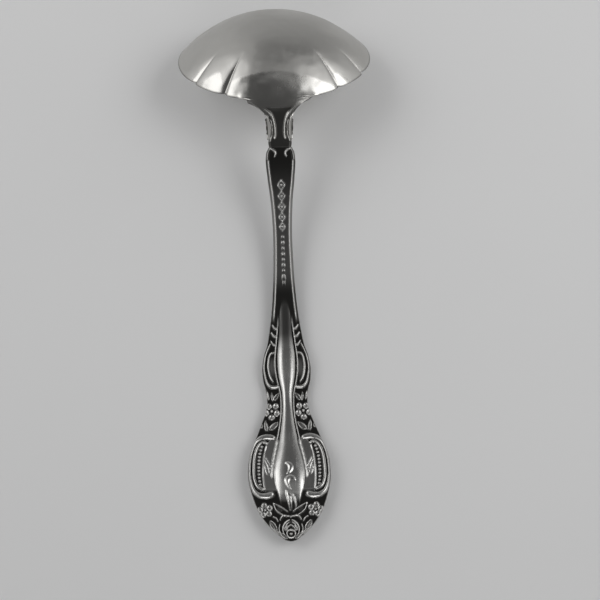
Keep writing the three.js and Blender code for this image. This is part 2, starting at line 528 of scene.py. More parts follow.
def large_bracket() -> list[Motif]:
    """Draws the broad C-scrolls at the struck end's widest stretch, with their beads and inner bands.

    Returns:
        The bracket's motifs.
    """
    outer = (
        (31.15, 4.35, 0.78), (31.45, 5.4, 0.92), (31.45, 6.7, 0.92), (30.9, 8.1, 0.8), (29.6, 9.45, 0.6),
        (27.0, 10.5, 0.42), (24.0, 11.05, 0.34), (20.5, 11.2, 0.33), (17.2, 10.8, 0.4), (15.0, 10.0, 0.6),
        (13.9, 8.8, 0.78), (13.5, 7.5, 0.88), (13.6, 6.2, 0.98), (13.9, 5.25, 0.92),
    )
    inner = (
        (29.5, 6.3, 0.42), (29.85, 7.1, 0.42), (29.2, 8.25, 0.44), (27.6, 9.15, 0.46), (25.5, 9.75, 0.46),
        (22.5, 10.05, 0.48), (19.5, 10.05, 0.48), (17.3, 9.6, 0.48), (16.0, 8.85, 0.5), (15.45, 7.75, 0.58),
    )
    beads = ((28.4, 7.6), (26.6, 8.2), (24.0, 8.55), (21.0, 8.65), (18.5, 8.55), (16.9, 8.3))
    thread = ((28.7, 6.45, 0.18), (26.0, 7.1, 0.2), (23.0, 7.4, 0.2), (19.5, 7.5, 0.2), (15.4, 7.15, 0.18))
    return [
        Scroll(outer, 0.98),
        Scroll(inner, 0.85, crown=2.4),
        *bead_row(beads, 1.06),
        Scroll(thread, 0.6),
    ]


def field_leaves() -> list[Motif]:
    """Draws the twig and the loop of a leaf on the plain field inside the large bracket.

    Returns:
        Motifs that stand on the field.
    """
    return [
        Scroll(((25.0, 6.5, 0.13), (23.7, 5.8, 0.15), (22.4, 5.15, 0.13)), 0.22),
        Scroll(((24.3, 6.75, 0.12), (23.1, 6.1, 0.14), (21.8, 5.4, 0.12)), 0.2),
        Leaf((19.5, 5.75), (23.6, 6.65), 0.62, 0.26, hollow=0.1, vein=0.0),
    ]


def drop_curls() -> list[Motif]:
    """Draws the comma-shaped curls that stand one above the other on the drop.

    Returns:
        Motifs that stand on the drop.
    """
    upper = (
        (22.95, -1.0, 0.1), (22.75, -0.3, 0.42), (22.0, 0.35, 0.62), (21.0, 0.35, 0.6),
        (20.2, -0.05, 0.36), (19.6, -0.65, 0.1),
    )
    lower = (
        (17.8, 1.5, 0.1), (18.55, 0.95, 0.4), (18.6, 0.05, 0.62), (17.9, -0.7, 0.64),
        (16.8, -0.65, 0.44), (15.8, -0.25, 0.26), (15.0, 0.2, 0.08),
    )
    return [Scroll(route, 0.24, sides=Sides.AS_DRAWN) for route in (upper, lower)]


def waist_flowers() -> list[Motif]:
    """Draws the flower on each side of the waist, between a pair of leaves below and above it.

    Returns:
        The flowers and leaves.
    """
    petals = (
        (40.95, 3.4, 1.0, 0.95), (38.75, 3.1, 1.0, 0.95), (37.5, 4.6, 0.85, 1.0),
        (38.9, 6.1, 0.95, 0.85), (40.9, 5.35, 0.95, 0.95),
    )
    return [
        *[Boss(*petal, 0.7, cup=0.62) for petal in petals],
        Boss(39.4, 4.55, 0.5, 0.5, 0.8),
        Leaf((33.5, 5.4), (36.0, 2.7), 0.85, 0.64, hollow=0.3),
        Leaf((33.2, 6.1), (36.6, 6.5), 0.6, 0.62, hollow=0.4),
        Boss(34.9, 7.6, 0.75, 0.42, 0.5, cup=0.8),
        Leaf((42.7, 3.9), (45.1, 2.4), 0.6, 0.62, hollow=0.2),
        Leaf((42.6, 4.2), (45.3, 4.5), 0.42, 0.62, hollow=0.6),
        Leaf((42.9, 5.3), (45.7, 5.8), 0.36, 0.6, hollow=0.6),
    ]


def small_bracket() -> list[Motif]:
    """Draws the narrow C-scrolls above the waist, each with a crescent inside, and the stepped mouldings.

    Returns:
        The bracket's motifs.
    """
    outer = (
        (47.0, 2.85, 0.5), (46.9, 3.8, 0.52), (47.1, 4.8, 0.5), (48.1, 5.6, 0.42), (50.0, 6.15, 0.32),
        (53.0, 6.5, 0.27), (56.0, 6.15, 0.27), (58.4, 5.4, 0.27), (60.4, 4.5, 0.25),
    )
    crescent = (
        (57.7, 3.6, 0.3), (57.45, 4.4, 0.34), (56.3, 5.0, 0.36), (53.8, 5.3, 0.42), (51.3, 5.05, 0.46),
        (49.6, 4.55, 0.42), (48.5, 3.95, 0.24),
    )
    steps = ((60.15, 3.15, 4.3, 0.42), (62.8, 2.85, 4.1, 0.48), (65.2, 2.6, 3.75, 0.45))
    mouldings = []
    for place, near, far, half in steps:
        middle = (place + 0.3, (near + far) / 2, half * 0.8)
        mouldings.append(Scroll(((place, near, half), middle, (place + 1.2, far, half * 0.5)), 0.85))
    return [Scroll(outer, 0.92), Scroll(crescent, 0.82), Boss(53.2, 4.0, 3.9, 0.95, 0.26), *mouldings]


def knop_curls() -> list[Motif]:
    """Draws the curls that close the stem's panel below the neck.

    Returns:
        The curls.
    """
    curl = (
        (121.5, 3.0, 0.2), (121.2, 2.3, 0.32), (120.6, 1.7, 0.38), (119.8, 1.45, 0.38),
        (119.1, 1.75, 0.24),
    )
    return [Scroll(curl, 0.72)]


def maker_punches() -> list[Motif]:
    """Draws a row of plain punches down the stem's panel: lozenges, then dots and rings in turn.

    Returns:
        The punches.
    """
    height, line_half, dot, pitch = 0.34, 0.2, 0.42, 1.75
    punches: list[Motif] = []
    for place, long in ((110.3, 1.5), (106.9, 1.4), (103.6, 1.4), (100.4, 1.3), (97.4, 1.2)):
        wide = 0.72 * long
        ends = ((place + long, 0.0, line_half), (place - long, 0.0, line_half))
        sides = ((place, wide, line_half), (place, -wide, line_half))
        for corners in ((ends[0], sides[0]), (sides[0], ends[1]), (ends[1], sides[1]), (sides[1], ends[0])):
            punches.append(Scroll(corners, height, sides=Sides.AS_DRAWN))
        punches.append(Boss(place, 0.0, dot, dot, height, sides=Sides.AS_DRAWN))
    for number in range(9):
        size, cup = (0.62, 0.95) if number % 2 else (0.5, 0.0)
        place = 94.2 - pitch * number
        punches.append(Boss(place, 0.0, size, size, height, cup=cup, sides=Sides.AS_DRAWN))
    return punches


def softened(height: Array, row: Array, column: Array, size: tuple[int, int], reach: int = 4) -> Array:
    """Averages heights over their neighbours on the grid they were taken from.

    Args:
        height: The heights.
        row: The row of each.
        column: The column of each.
        size: Rows and columns of the grid.
        reach: How many neighbours to take on each side.

    Returns:
        The mean round each point.
    """
    grid = np.zeros(size)
    grid[row, column] = height
    kernel = np.hanning(2 * reach + 3)[1:-1]
    kernel /= kernel.sum()
    for axis in (0, 1):
        margin = [(reach, reach) if side == axis else (0, 0) for side in (0, 1)]
        padded = np.pad(grid, margin, mode="edge")
        grid = np.apply_along_axis(np.convolve, axis, padded, kernel, mode="valid")
    return grid[row, column]


@dataclass(frozen=True)
class HandleDie:
    """The relief that is struck into each face of the handle.

    Heights are counted from the ground, which is the bottom of the recesses. A run holds the places
    where something starts, is full, starts to fade and has gone.

    Attributes:
        spine: Half width of the raised middle, out to its border thread, along the handle.
        spine_rise: Height of the middle's crown over its own edges, along the handle.
        spine_flatness: Exponent of the crown's cross-section up the spine.
        drop_flatness: The same on the drop, its broad lower end, up to drop_end.
        groove: Least and greatest width of the groove between crown and border thread.
        field_edge: Half width of the plain field inside the large bracket.
        ridge_inset: Distance of the panel's ridges from the stem's edge.
        rail: Inset and width of the rail that goes on past the panel.
        painted_reflection_run: Where the spine's upper end is painted dark, as a painted dark reflection.
        worn_run: Where the stem is rubbed clean.
    """

    spine: Table = (
        (11.0, 3.2), (15.0, 4.25), (18.0, 4.85), (20.5, 5.0), (23.0, 4.75), (26.0, 4.2), (29.0, 3.55),
        (32.0, 2.95), (35.0, 2.4), (38.0, 2.0), (41.0, 1.82), (44.0, 1.9), (46.0, 2.15), (48.0, 2.6),
        (50.0, 2.98), (52.5, 3.25), (55.0, 3.3), (58.0, 3.1), (61.0, 2.75), (64.0, 2.42), (68.0, 2.05),
        (73.0, 1.7),
    )
    spine_rise: Table = (
        (9.0, 0.0), (13.0, 0.3), (19.0, 0.8), (26.0, 0.9), (34.0, 0.72), (41.0, 0.6), (48.0, 0.85),
        (54.0, 0.95), (62.0, 0.7), (70.0, 0.3), (78.0, 0.0),
    )
    spine_start: tuple[float, float] = (10.0, 14.5)
    spine_flatness: float = 2.8
    drop_flatness: float = 2.3
    drop_end: tuple[float, float] = (26.0, 38.0)
    spine_edge: float = 0.42
    spine_fade: tuple[float, float] = (64.0, 74.0)
    groove: tuple[float, float] = (0.38, 0.7)
    thread_height: float = 0.74
    thread_half: float = 0.27
    thread_run: Run = (16.0, 21.0, 64.0, 71.0)
    field_edge: Table = ((15.0, 7.1), (19.5, 7.5), (23.0, 7.4), (26.0, 7.1), (29.0, 6.3), (31.0, 5.0))
    field_run: Run = (13.9, 15.6, 29.9, 32.0)
    field_height: float = 0.34
    field_film: float = 0.36
    stem_start: tuple[float, float] = (66.0, 71.0)
    panel_depth: float = 0.1
    panel_end: tuple[float, float] = (117.6, 118.4)
    stem_ridge: float = 0.55
    ridge_inset: float = 0.72
    ridge_width: float = 0.22
    rail: tuple[float, float] = (0.3, 0.3)
    # Painted shade: how dark the stem's sloping margin along its outline is made.
    painted_edge_shade: float = 0.75
    # Painted reflection: the spine's upper end is darkened to stand in for the dark part of the room that
    # it mirrors.
    painted_reflection_run: Run = (56.5, 64.0, 73.0, 77.0)
    painted_dark_reflection: float = 0.88
    worn_run: Run = (76.0, 84.0, 102.0, 118.0)
    stem_wear: float = 0.2

    def middle(self, place: Array, offset: Array) -> Array:
        """Finds the height of the smooth middle, with its groove and border thread.

        Args:
            place: Each point's distance from the tip.
            offset: Its distance from the middle line.

        Returns:
            The height over the ground.
        """
        half = eased(self.spine, place)
        groove = np.clip(0.2 * half, *self.groove)
        share = np.abs(offset) / np.maximum(half - groove, 0.2)
        flatter = (self.spine_flatness - self.drop_flatness) * smoothstep(place, *self.drop_end)
        crown = eased(self.spine_rise, place) * unit(1.0 - share ** (self.drop_flatness + flatter)) ** 0.85
        floor = np.where(share < 1.0, self.spine_edge * smoothstep(-share, -1.1, -0.94), 0.0)
        floor *= 1.0 - smoothstep(place, *self.spine_fade)
        round_top = unit(1.0 - ((np.abs(offset) - half) / self.thread_half) ** 2)
        thread = self.thread_height * np.sqrt(round_top) * between(place, self.thread_run)
        return np.maximum((floor + crown) * smoothstep(place, *self.spine_start), thread)

    def field(self, place: Array, offset: Array) -> Array:
        """Gives the height of the plain field between the bracket's inner thread and the drop."""
        inset = eased(self.field_edge, place) - np.abs(offset)
        return self.field_height * smoothstep(inset, -0.05, 0.2) * between(place, self.field_run)

    def stem(self, place: Array, offset: Array, half: Array) -> Array:
        """Finds the height of the stem's sunk panel and of the thin ridges that frame it.

        Args:
            place: Each point's distance from the tip.
            offset: Its distance from the middle line.
            half: The handle's half width there.

        Returns:
            The height over the ground.
        """
        inset = half - np.abs(offset)
        ridge = hill(inset, self.ridge_inset, self.ridge_width)
        slope = 0.7 * smoothstep(inset, 0.0, self.ridge_inset)
        panel = self.panel_depth * smoothstep(inset, self.ridge_inset, self.ridge_inset + 0.3)
        shape = np.where(inset < self.ridge_inset, np.maximum(ridge, slope), ridge)
        closed = 1.0 - smoothstep(place, *self.panel_end)
        rail = 0.8 * self.stem_ridge * hill(inset, *self.rail) * (1.0 - closed)
        ridges = np.maximum(self.stem_ridge * shape * closed, rail)
        return smoothstep(place, *self.stem_start) * np.maximum(panel, ridges)

    def film_and_shade(self, place: Array, offset: Array, half: Array, height: Array, around: Array) -> Array:
        """Finds how much dark film is left in the struck surface, with the painted shade and the painted
        dark reflection that it also lays.

        Args:
            place: Each point's distance from the tip.
            offset: Its distance from the middle line.
            half: The handle's half width there.
            height: The relief's height there.
            around: The mean height round about.

        Returns:
            The film and the painted shade, from 0 to 1.
        """
        low = 1.0 - smoothstep(height, 0.1, 0.5)
        film_and_shade = np.maximum(low, 0.85 * smoothstep(around - height, 0.03, 0.2))
        # Painted shade: the stem's sloping margin along its outline is darkened.
        on_edge = smoothstep(place, 66.0, 70.0) * (1.0 - smoothstep(half - np.abs(offset), 0.2, 0.45))
        film_and_shade = np.maximum(film_and_shade, self.painted_edge_shade * on_edge)
        # Painted reflection: the middle of the spine's upper end is darkened where it would mirror the dark
        # part of the room.
        on_middle = 1.0 - smoothstep(np.abs(offset) - eased(self.spine, place), -0.6, -0.4)
        film_and_shade = np.maximum(film_and_shade, self.painted_dark_reflection * between(place, self.painted_reflection_run) * on_middle)
        film_and_shade *= 1.0 - self.stem_wear * between(place, self.worn_run)
        on_field = self.field(place, offset) / self.field_height
        bare = 1.0 - smoothstep(height, self.field_height, self.field_height + 0.15)
        return np.maximum(film_and_shade, self.field_film * on_field * bare)

    def height(self, place: Array, offset: Array, half: Array) -> Array:
        """Adds up the relief that both faces carry.

        Args:
            place: Each point's distance from the tip.
            offset: Its distance from the middle line.
            half: The handle's half width there.

        Returns:
            The height over the ground.
        """
        base = np.maximum(self.middle(place, offset), self.field(place, offset))
        base = np.maximum(base, self.stem(place, offset, half))
        side_flower = flower(9.2, 7.05, 1.42, 10.0)
        lower_end = [*tip_rose(), *side_flower, *large_bracket(), *spray_of_leaves()]
        for motif in [*lower_end, *waist_flowers(), *small_bracket(), *knop_curls()]:
            base = np.maximum(base, motif.struck(place, offset))
        for motif in [*field_leaves(), *drop_curls(), *tall_leaf()]:
            base = base + motif.struck(place, offset)
        return base

    def punched(self, place: Array, offset: Array) -> Array:
        """Gives the height of the punches, which only the back of the stem carries."""
        return sum(motif.struck(place, offset) for motif in maker_punches())


# ---------------------------------------------------------------- mesh helpers


def flat_grid(columns: int, rows: int) -> tuple[Mesh, Array, Array]:
    """Makes a flat grid of faces.

    Args:
        columns: Faces across the grid.
        rows: Faces along the grid.

    Returns:
        The grid, and the column number and row number of each of its vertices.
    """
    mesh = bmesh.new()
    bmesh.ops.create_grid(mesh, x_segments=columns, y_segments=rows, size=0.5)
    flat = np.array([vertex.co[:2] for vertex in mesh.verts])
    column, row = np.rint((flat + 0.5) * (columns, rows)).astype(int).T
    return mesh, column, row


def move_points(mesh: Mesh, points: Array) -> None:
    """Moves each vertex to its point."""
    for vertex, point in zip(mesh.verts, points):
        vertex.co = point


def piece_from(mesh: Mesh, name: str) -> Piece:
    """Turns a finished bmesh into an object of the scene, shaded smooth.

    Args:
        mesh: The bmesh, which is freed.
        name: The object's name.

    Returns:
        The object.
    """
    bmesh.ops.recalc_face_normals(mesh, faces=mesh.faces)
    data = bpy.data.meshes.new(name)
    mesh.to_mesh(data)
    mesh.free()
    data.shade_smooth()
    piece = bpy.data.objects.new(name, data)
    bpy.context.scene.collection.objects.link(piece)
    LOG.info("%s: %d faces before modifiers", name, len(data.polygons))
    return piece


# ---------------------------------------------------------------- finishes


@dataclass(frozen=True)
class NodeNet:
    """A node tree that is being wired up. A value given to its methods is a number or a socket."""

    tree: bpy.types.NodeTree

    @classmethod
    def of_material(cls, name: str) -> tuple[bpy.types.Material, "NodeNet", Any]:
        """Starts a material.

        Args:
            name: The material's name.

        Returns:
            The material, its net and its shader node.
        """
        made = bpy.data.materials.new(name)
        made.use_nodes = True
        net = cls(made.node_tree)
        return made, net, net.found("BSDF_PRINCIPLED")

    def found(self, kind: str) -> Any:
        """Finds the node of a kind that the tree started with."""
        return next(node for node in self.tree.nodes if node.type == kind)

    def feed(self, node: Any, inputs: dict[str | int, Any]) -> None:
        """Gives a node's inputs their values.

        Args:
            node: The node.
            inputs: The values by the inputs' names or numbers.
        """
        for key, value in inputs.items():
            if isinstance(value, bpy.types.NodeSocket):
                self.tree.links.new(value, node.inputs[key])
            else:
                node.inputs[key].default_value = value

    def node(self, kind: str, inputs: dict[str | int, Any], **settings: Any) -> Any:
        """Adds a node, sets it up and feeds it.

        Args:
            kind: The node's type, without the beginning that all types share.
            inputs: The values by the inputs' names or numbers.
            **settings: Properties of the node.

        Returns:
            The node's outputs.
        """
        node = self.tree.nodes.new("ShaderNode" + kind)
        for key, value in settings.items():
            setattr(node, key, value)
        self.feed(node, inputs)
        return node.outputs

    def place(self) -> Any:
        """Gives each point's place in the piece's own space."""
        return self.node("TexCoord", {})["Object"]

    def attribute(self, name: str) -> Any:
        """Gives a number that the mesh keeps for each vertex."""
        return self.node("Attribute", {}, attribute_name=name)["Fac"]

    def math(self, operation: str, first: Any, second: Any = 0.0, **settings: Any) -> Any:
        """Works out an operation on two values."""
        return self.node("Math", {0: first, 1: second}, operation=operation, **settings)[0]

    def noise(self, place: Any, scale: float, detail: float, roughness: float = 0.5) -> Any:
        """Gives a cloudy noise between 0 and 1."""
        inputs = {"Vector": place, "Scale": scale, "Detail": detail, "Roughness": roughness}
        return self.node("TexNoise", inputs)[0]

    def ramp(
        self, value: Any, low: float, high: float, start: Any = 0.0, end: Any = 1.0, **settings: Any
    ) -> Any:
        """Blends from start to end as a value rises from low to high."""
        return self.node("MapRange", {0: value, 1: low, 2: high, 3: start, 4: end}, **settings)[0]

    def soft_ramp(self, *span: Any) -> Any:
        """Blends as ramp does, with no corner at either end."""
        return self.ramp(*span, interpolation_type="SMOOTHSTEP")

    def mix(self, factor: Any, first: Any, second: Any, **settings: Any) -> Any:
        """Mixes two numbers, or two colours given as tuples.

        Args:
            factor: The second's share.
            first: The first.
            second: The second.
            **settings: Properties of the node.

        Returns:
            The mixture.
        """
        kind = "RGBA" if isinstance(second, tuple) else "FLOAT"
        inputs = {"Factor": factor, "A": first, "B": second}
        return self.node("Mix", inputs, data_type=kind, **settings)["Result"]

    def bump(self, height: Any, depth: float, **normal: Any) -> Any:
        """Tilts the surface's normal, or a normal given as Normal, by a height of some depth in metres."""
        return self.node("Bump", {"Height": height, "Strength": 1.0, "Distance": depth, **normal})["Normal"]


@dataclass(frozen=True)
class UseWear:
    """The node group of fine scratches and hand smudges that every polished steel surface shares.

    Attributes:
        scratches: Turn, stretch and scale of each set of scratches.
        scratch_edge: Levels of the noise between which a scratch begins.
        smudge_edge: Levels of the noise between which a smudge grows.
    """

    name: str = "steel_use_wear"
    scratches: tuple[tuple[float, float, float], ...] = (
        (0.35, 0.05, 2600.0), (-0.7, 0.04, 1900.0), (1.5, 0.06, 2200.0),
    )
    scratch_edge: tuple[float, float] = (0.62, 0.74)
    smudge_scale: float = 90.0
    smudge_edge: tuple[float, float] = (0.35, 0.7)

    def group(self) -> bpy.types.NodeTree:
        """Builds the group once, or finds it again.

        Returns:
            A group with inputs Roughness, Scratches and Smudges, and outputs Roughness and Height.
        """
        if self.name in bpy.data.node_groups:
            return bpy.data.node_groups[self.name]
        tree = bpy.data.node_groups.new(self.name, "ShaderNodeTree")
        for name, value in (("Roughness", 0.2), ("Scratches", 0.1), ("Smudges", 0.1)):
            socket = tree.interface.new_socket(name, in_out="INPUT", socket_type="NodeSocketFloat")
            socket.default_value = value
        for name in ("Roughness", "Height"):
            tree.interface.new_socket(name, in_out="OUTPUT", socket_type="NodeSocketFloat")
        given = tree.nodes.new("NodeGroupInput").outputs
        net = NodeNet(tree)
        place = net.place()
        lines = []
        for turn, stretch, scale in self.scratches:
            lie = {"Vector": place, "Rotation": (0.2, 0.1, turn), "Scale": (1.0, stretch, 1.0)}
            grain = net.noise(net.node("Mapping", lie)[0], scale, 2.0)
            lines.append(net.soft_ramp(grain, *self.scratch_edge))
        scratch = net.math("MAXIMUM", net.math("MAXIMUM", lines[0], lines[1]), lines[2])
        smudge = net.ramp(net.noise(place, self.smudge_scale, 4.0, 0.6), *self.smudge_edge)
        rub = net.math("MULTIPLY", smudge, given["Smudges"])
        dull = net.math("MULTIPLY", scratch, given["Scratches"])
        rough = net.math("ADD", given["Roughness"], net.math("ADD", rub, dull), use_clamp=True)
        cut = net.math("MULTIPLY", dull, -1.0)
        net.feed(tree.nodes.new("NodeGroupOutput"), {"Roughness": rough, "Height": cut})
        return tree


@dataclass(frozen=True)
class SteelFinish:
    """A steel surface with its wear, and the dark film that stays in its recesses. On some pieces the
    film's layer also carries painted shade, painted shadow and a painted dark reflection.

    Attributes:
        polished: Its roughness where it has been buffed.
        scratches: How much the fine scratches dull it.
        smudges: How much hands and washing dull it.
        film_and_shade: How dark the film and the painted shade are, from 0 to 1.
        ripple: Depth of the sheet's slow ripples, in metres.
        bump: Depth of the scratches, in metres.
        film_and_shade_layer: The vertex attribute that says how much film and painted shade is laid on.
        polish: The vertex attribute that says how well buffed the steel is.
    """

    name: str
    color: tuple[float, float, float]
    roughness: float
    polished: float
    scratches: float
    smudges: float
    film_and_shade: float
    ripple: float
    ripple_scale: float = 95.0
    bump: float = 0.000001
    film_and_shade_color: tuple[float, float, float] = (0.014, 0.0135, 0.012)
    film_roughness: float = 0.4
    film_and_shade_layer: str = "film_and_shade_layer"
    polish: str = "polish"

    def material(self) -> bpy.types.Material:
        """Builds the material.

        Returns:
            The material, whose film, painted shade and polish follow the piece's own attributes.
        """
        made, net, shader = NodeNet.of_material(self.name)
        start = net.mix(net.attribute(self.polish), self.roughness, self.polished)
        wear_inputs = {"Roughness": start, "Scratches": self.scratches, "Smudges": self.smudges}
        wear = net.node("Group", wear_inputs, node_tree=UseWear().group())
        # The film layer darkens the base colour: real film in the recesses, and painted shade, painted
        # shadow and a painted dark reflection where the pieces lay them.
        film_and_shade = net.math("MULTIPLY", net.attribute(self.film_and_shade_layer), self.film_and_shade, use_clamp=True)
        swell = net.noise(net.place(), self.ripple_scale, 2.0, 0.45)
        net.feed(shader, {
            "Metallic": 1.0,
            "Base Color": net.mix(film_and_shade, (*self.color, 1.0), (*self.film_and_shade_color, 1.0)),
            "Roughness": net.mix(film_and_shade, wear["Roughness"], self.film_roughness),
            "Normal": net.bump(wear["Height"], self.bump, Normal=net.bump(swell, self.ripple)),
        })
        return made


@dataclass(frozen=True)
class PaintFinish:
    """A plain matt surface for the floor, with painted light that makes it a little paler toward the back.

    Attributes:
        color: Its colour at the near edge.
        far_painted_light_color: Its colour at the far edge, paler with painted light.
        reach: The near and far y between which the painted light pales it, in metres.
    """

    name: str
    color: tuple[float, float, float]
    far_painted_light_color: tuple[float, float, float]
    reach: tuple[float, float] = (-0.13, 0.16)
    roughness: float = 0.8
    mottle_scale: float = 14.0

    def material(self) -> bpy.types.Material:
        """Builds the material.

        Returns:
            The material.
        """
        made, net, shader = NodeNet.of_material(self.name)
        place = net.place()
        # Painted light: the floor pales toward the back, standing in for the fall-off of the room's light.
        along = net.ramp(net.node("SeparateXYZ", {0: place})["Y"], *self.reach)
        pale = net.mix(along, (*self.color, 1.0), (*self.far_painted_light_color, 1.0))
        mottle = net.noise(place, self.mottle_scale, 3.0)
        color = net.mix(mottle, pale, (0.97, 0.97, 0.97, 1.0), blend_type="MULTIPLY")
        net.feed(shader, {"Base Color": color, "Roughness": self.roughness})
        return made


# ---------------------------------------------------------------- the handle


@dataclass
class StruckHandle:
    """The die-struck handle, from its tip to the weld at the neck.

    Attributes:
        edge: Thickness of the blank at the broad end.
        stem: Its thickness at the stem.
        relief: Depth of the ground under the blank's face.
        plan: Half widths along the handle.
        rows: Stretches of the handle, each with its start, its end and the length of its faces.
    """

    line: HandleLine
    stance: Stance
    die: HandleDie = field(default_factory=HandleDie)
    edge: float = 2.0
    stem: float = 3.0
    relief: float = 0.55
    # Painted shade: how dark the handle's side faces are made, up the stem.
    painted_side_shade: float = 0.6
    top_columns: int = 122
    under_columns: int = 78
    side_columns: int = 5
    plan: Table = (
        (0.0, 0.0), (0.25, 1.1), (1.0, 2.3), (2.9, 4.45), (6.1, 7.2), (9.2, 8.95), (13.1, 10.35),
        (16.5, 11.2), (19.5, 11.6), (23.0, 11.5), (26.0, 11.05), (28.8, 10.2), (32.1, 8.8), (35.5, 7.55),
        (38.9, 6.35), (42.2, 5.75), (45.6, 5.95), (49.0, 6.75), (52.5, 7.0), (57.0, 6.35), (60.4, 5.3),
        (64.2, 4.65), (69.5, 3.9), (75.0, 3.4), (84.0, 2.9), (94.4, 2.7), (100.0, 2.85), (106.8, 3.3),
        (112.0, 3.9), (117.8, 4.35), (120.0, 4.15), (121.8, 3.35),
    )
    rows: tuple[tuple[float, float, float], ...] = (
        (0.0, 1.2, 0.12), (1.2, 47.0, 0.185), (47.0, 68.0, 0.22), (68.0, 82.0, 0.8), (82.0, 112.6, 0.3),
        (112.6, 117.0, 0.8), (117.0, 121.8, 0.2),
    )

    def stations(self) -> Array:
        """Lists where the rows of faces meet: close together where the relief is."""
        parts = [np.arange(start, end - step / 2, step) for start, end, step in self.rows]
        return np.concatenate([*parts, [self.line.weld]])

    def thickness(self, place: Array) -> Array:
        """Gives the thickness of the blank that is struck."""
        return self.edge + (self.stem - self.edge) * smoothstep(place, 45.0, 80.0)

    def ground(self, place: Array) -> Array:
        """Gives the height of the recesses' bottom over the middle line."""
        return self.thickness(place) / 2 - self.relief

    def section(self, column: Array) -> tuple[Array, Array, Array]:
        """Takes the columns round the handle: over its top, one side, its underside and the other side.

        Args:
            column: Column numbers, counted from the left edge of the top.

        Returns:
            The share of the half width, the level (1 on top, -1 below) and whether it is on a side.
        """
        faces = (0, self.top_columns, self.side_columns, self.under_columns, self.side_columns)
        corners = np.cumsum(faces)
        share = np.interp(column, corners, (-1.0, 1.0, 1.0, -1.0, -1.0))
        level = np.interp(column, corners, (1.0, 1.0, -1.0, -1.0, 1.0))
        return share, level, np.abs(level) < 1.0

    def surface(self, column: Array, row: Array) -> tuple[Array, Array]:
        """Finds the points of the grid that is wrapped round the handle.

        Args:
            column: Each point's column number, counted from the left edge of the top.
            row: Its row number, counted from the tip.

        Returns:
            The points on the table, and how much dark film and painted shade is laid at each.
        """
        stations = self.stations()
        place = stations[row]
        half = eased(self.plan, place)
        share, level, on_side = self.section(np.mod(column, column.max()))
        offset = share * half
        height = self.die.height(place, offset, half)
        height += self.die.punched(place, offset) * (level == 1.0)
        around = softened(height, row, column, (len(stations), column.max() + 1))
        film_and_shade = self.die.film_and_shade(place, offset, half, height, around)
        # Painted shade: the handle's side faces are darkened up the stem.
        film_and_shade = np.where(on_side, self.painted_side_shade * smoothstep(place, 62.0, 72.0), film_and_shade)
        ground = self.ground(place)
        border = smoothstep(half - np.abs(offset), -0.05, 0.3)
        face = ground + height * (0.25 + 0.75 * border)
        bulge = 0.16 * (1.0 - level**2) * share * smoothstep(place, 0.3, 2.5)
        rise = np.where(on_side, ground + 0.1, face) * level
        y, z = self.line.lifted(place, rise * (0.45 + 0.55 * smoothstep(place, 0.0, 3.0)))
        return self.stance.placed(offset + bulge, y, z), film_and_shade

    def mesh(self) -> Mesh:
        """Wraps a grid round the handle, with the relief on both faces.

        Returns:
            The mesh, which keeps the film and the painted shade as an attribute.
        """
        columns = self.top_columns + self.under_columns + 2 * self.side_columns
        made, column, row = flat_grid(columns, len(self.stations()) - 1)
        points, darkening = self.surface(column, row)
        move_points(made, points)
        layer = made.verts.layers.float.new("film_and_shade_layer")
        for vertex, film_and_shade in zip(made.verts, darkening):
            vertex[layer] = film_and_shade
        bmesh.ops.remove_doubles(made, verts=made.verts, dist=1e-7)
        bmesh.ops.edgeloop_fill(made, edges=[edge for edge in made.edges if edge.is_boundary])
        return made

    def build(self, finish: SteelFinish) -> Piece:
        """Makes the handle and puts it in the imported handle's place.

        Args:
            finish: The steel that it is dressed in.

        Returns:
            The handle.
        """
        piece = piece_from(self.mesh(), "struck_handle")
        piece.data.materials.append(finish.material())
        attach(piece, "root")
        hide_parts("handle")
        return piece


# ---------------------------------------------------------------- the bowl


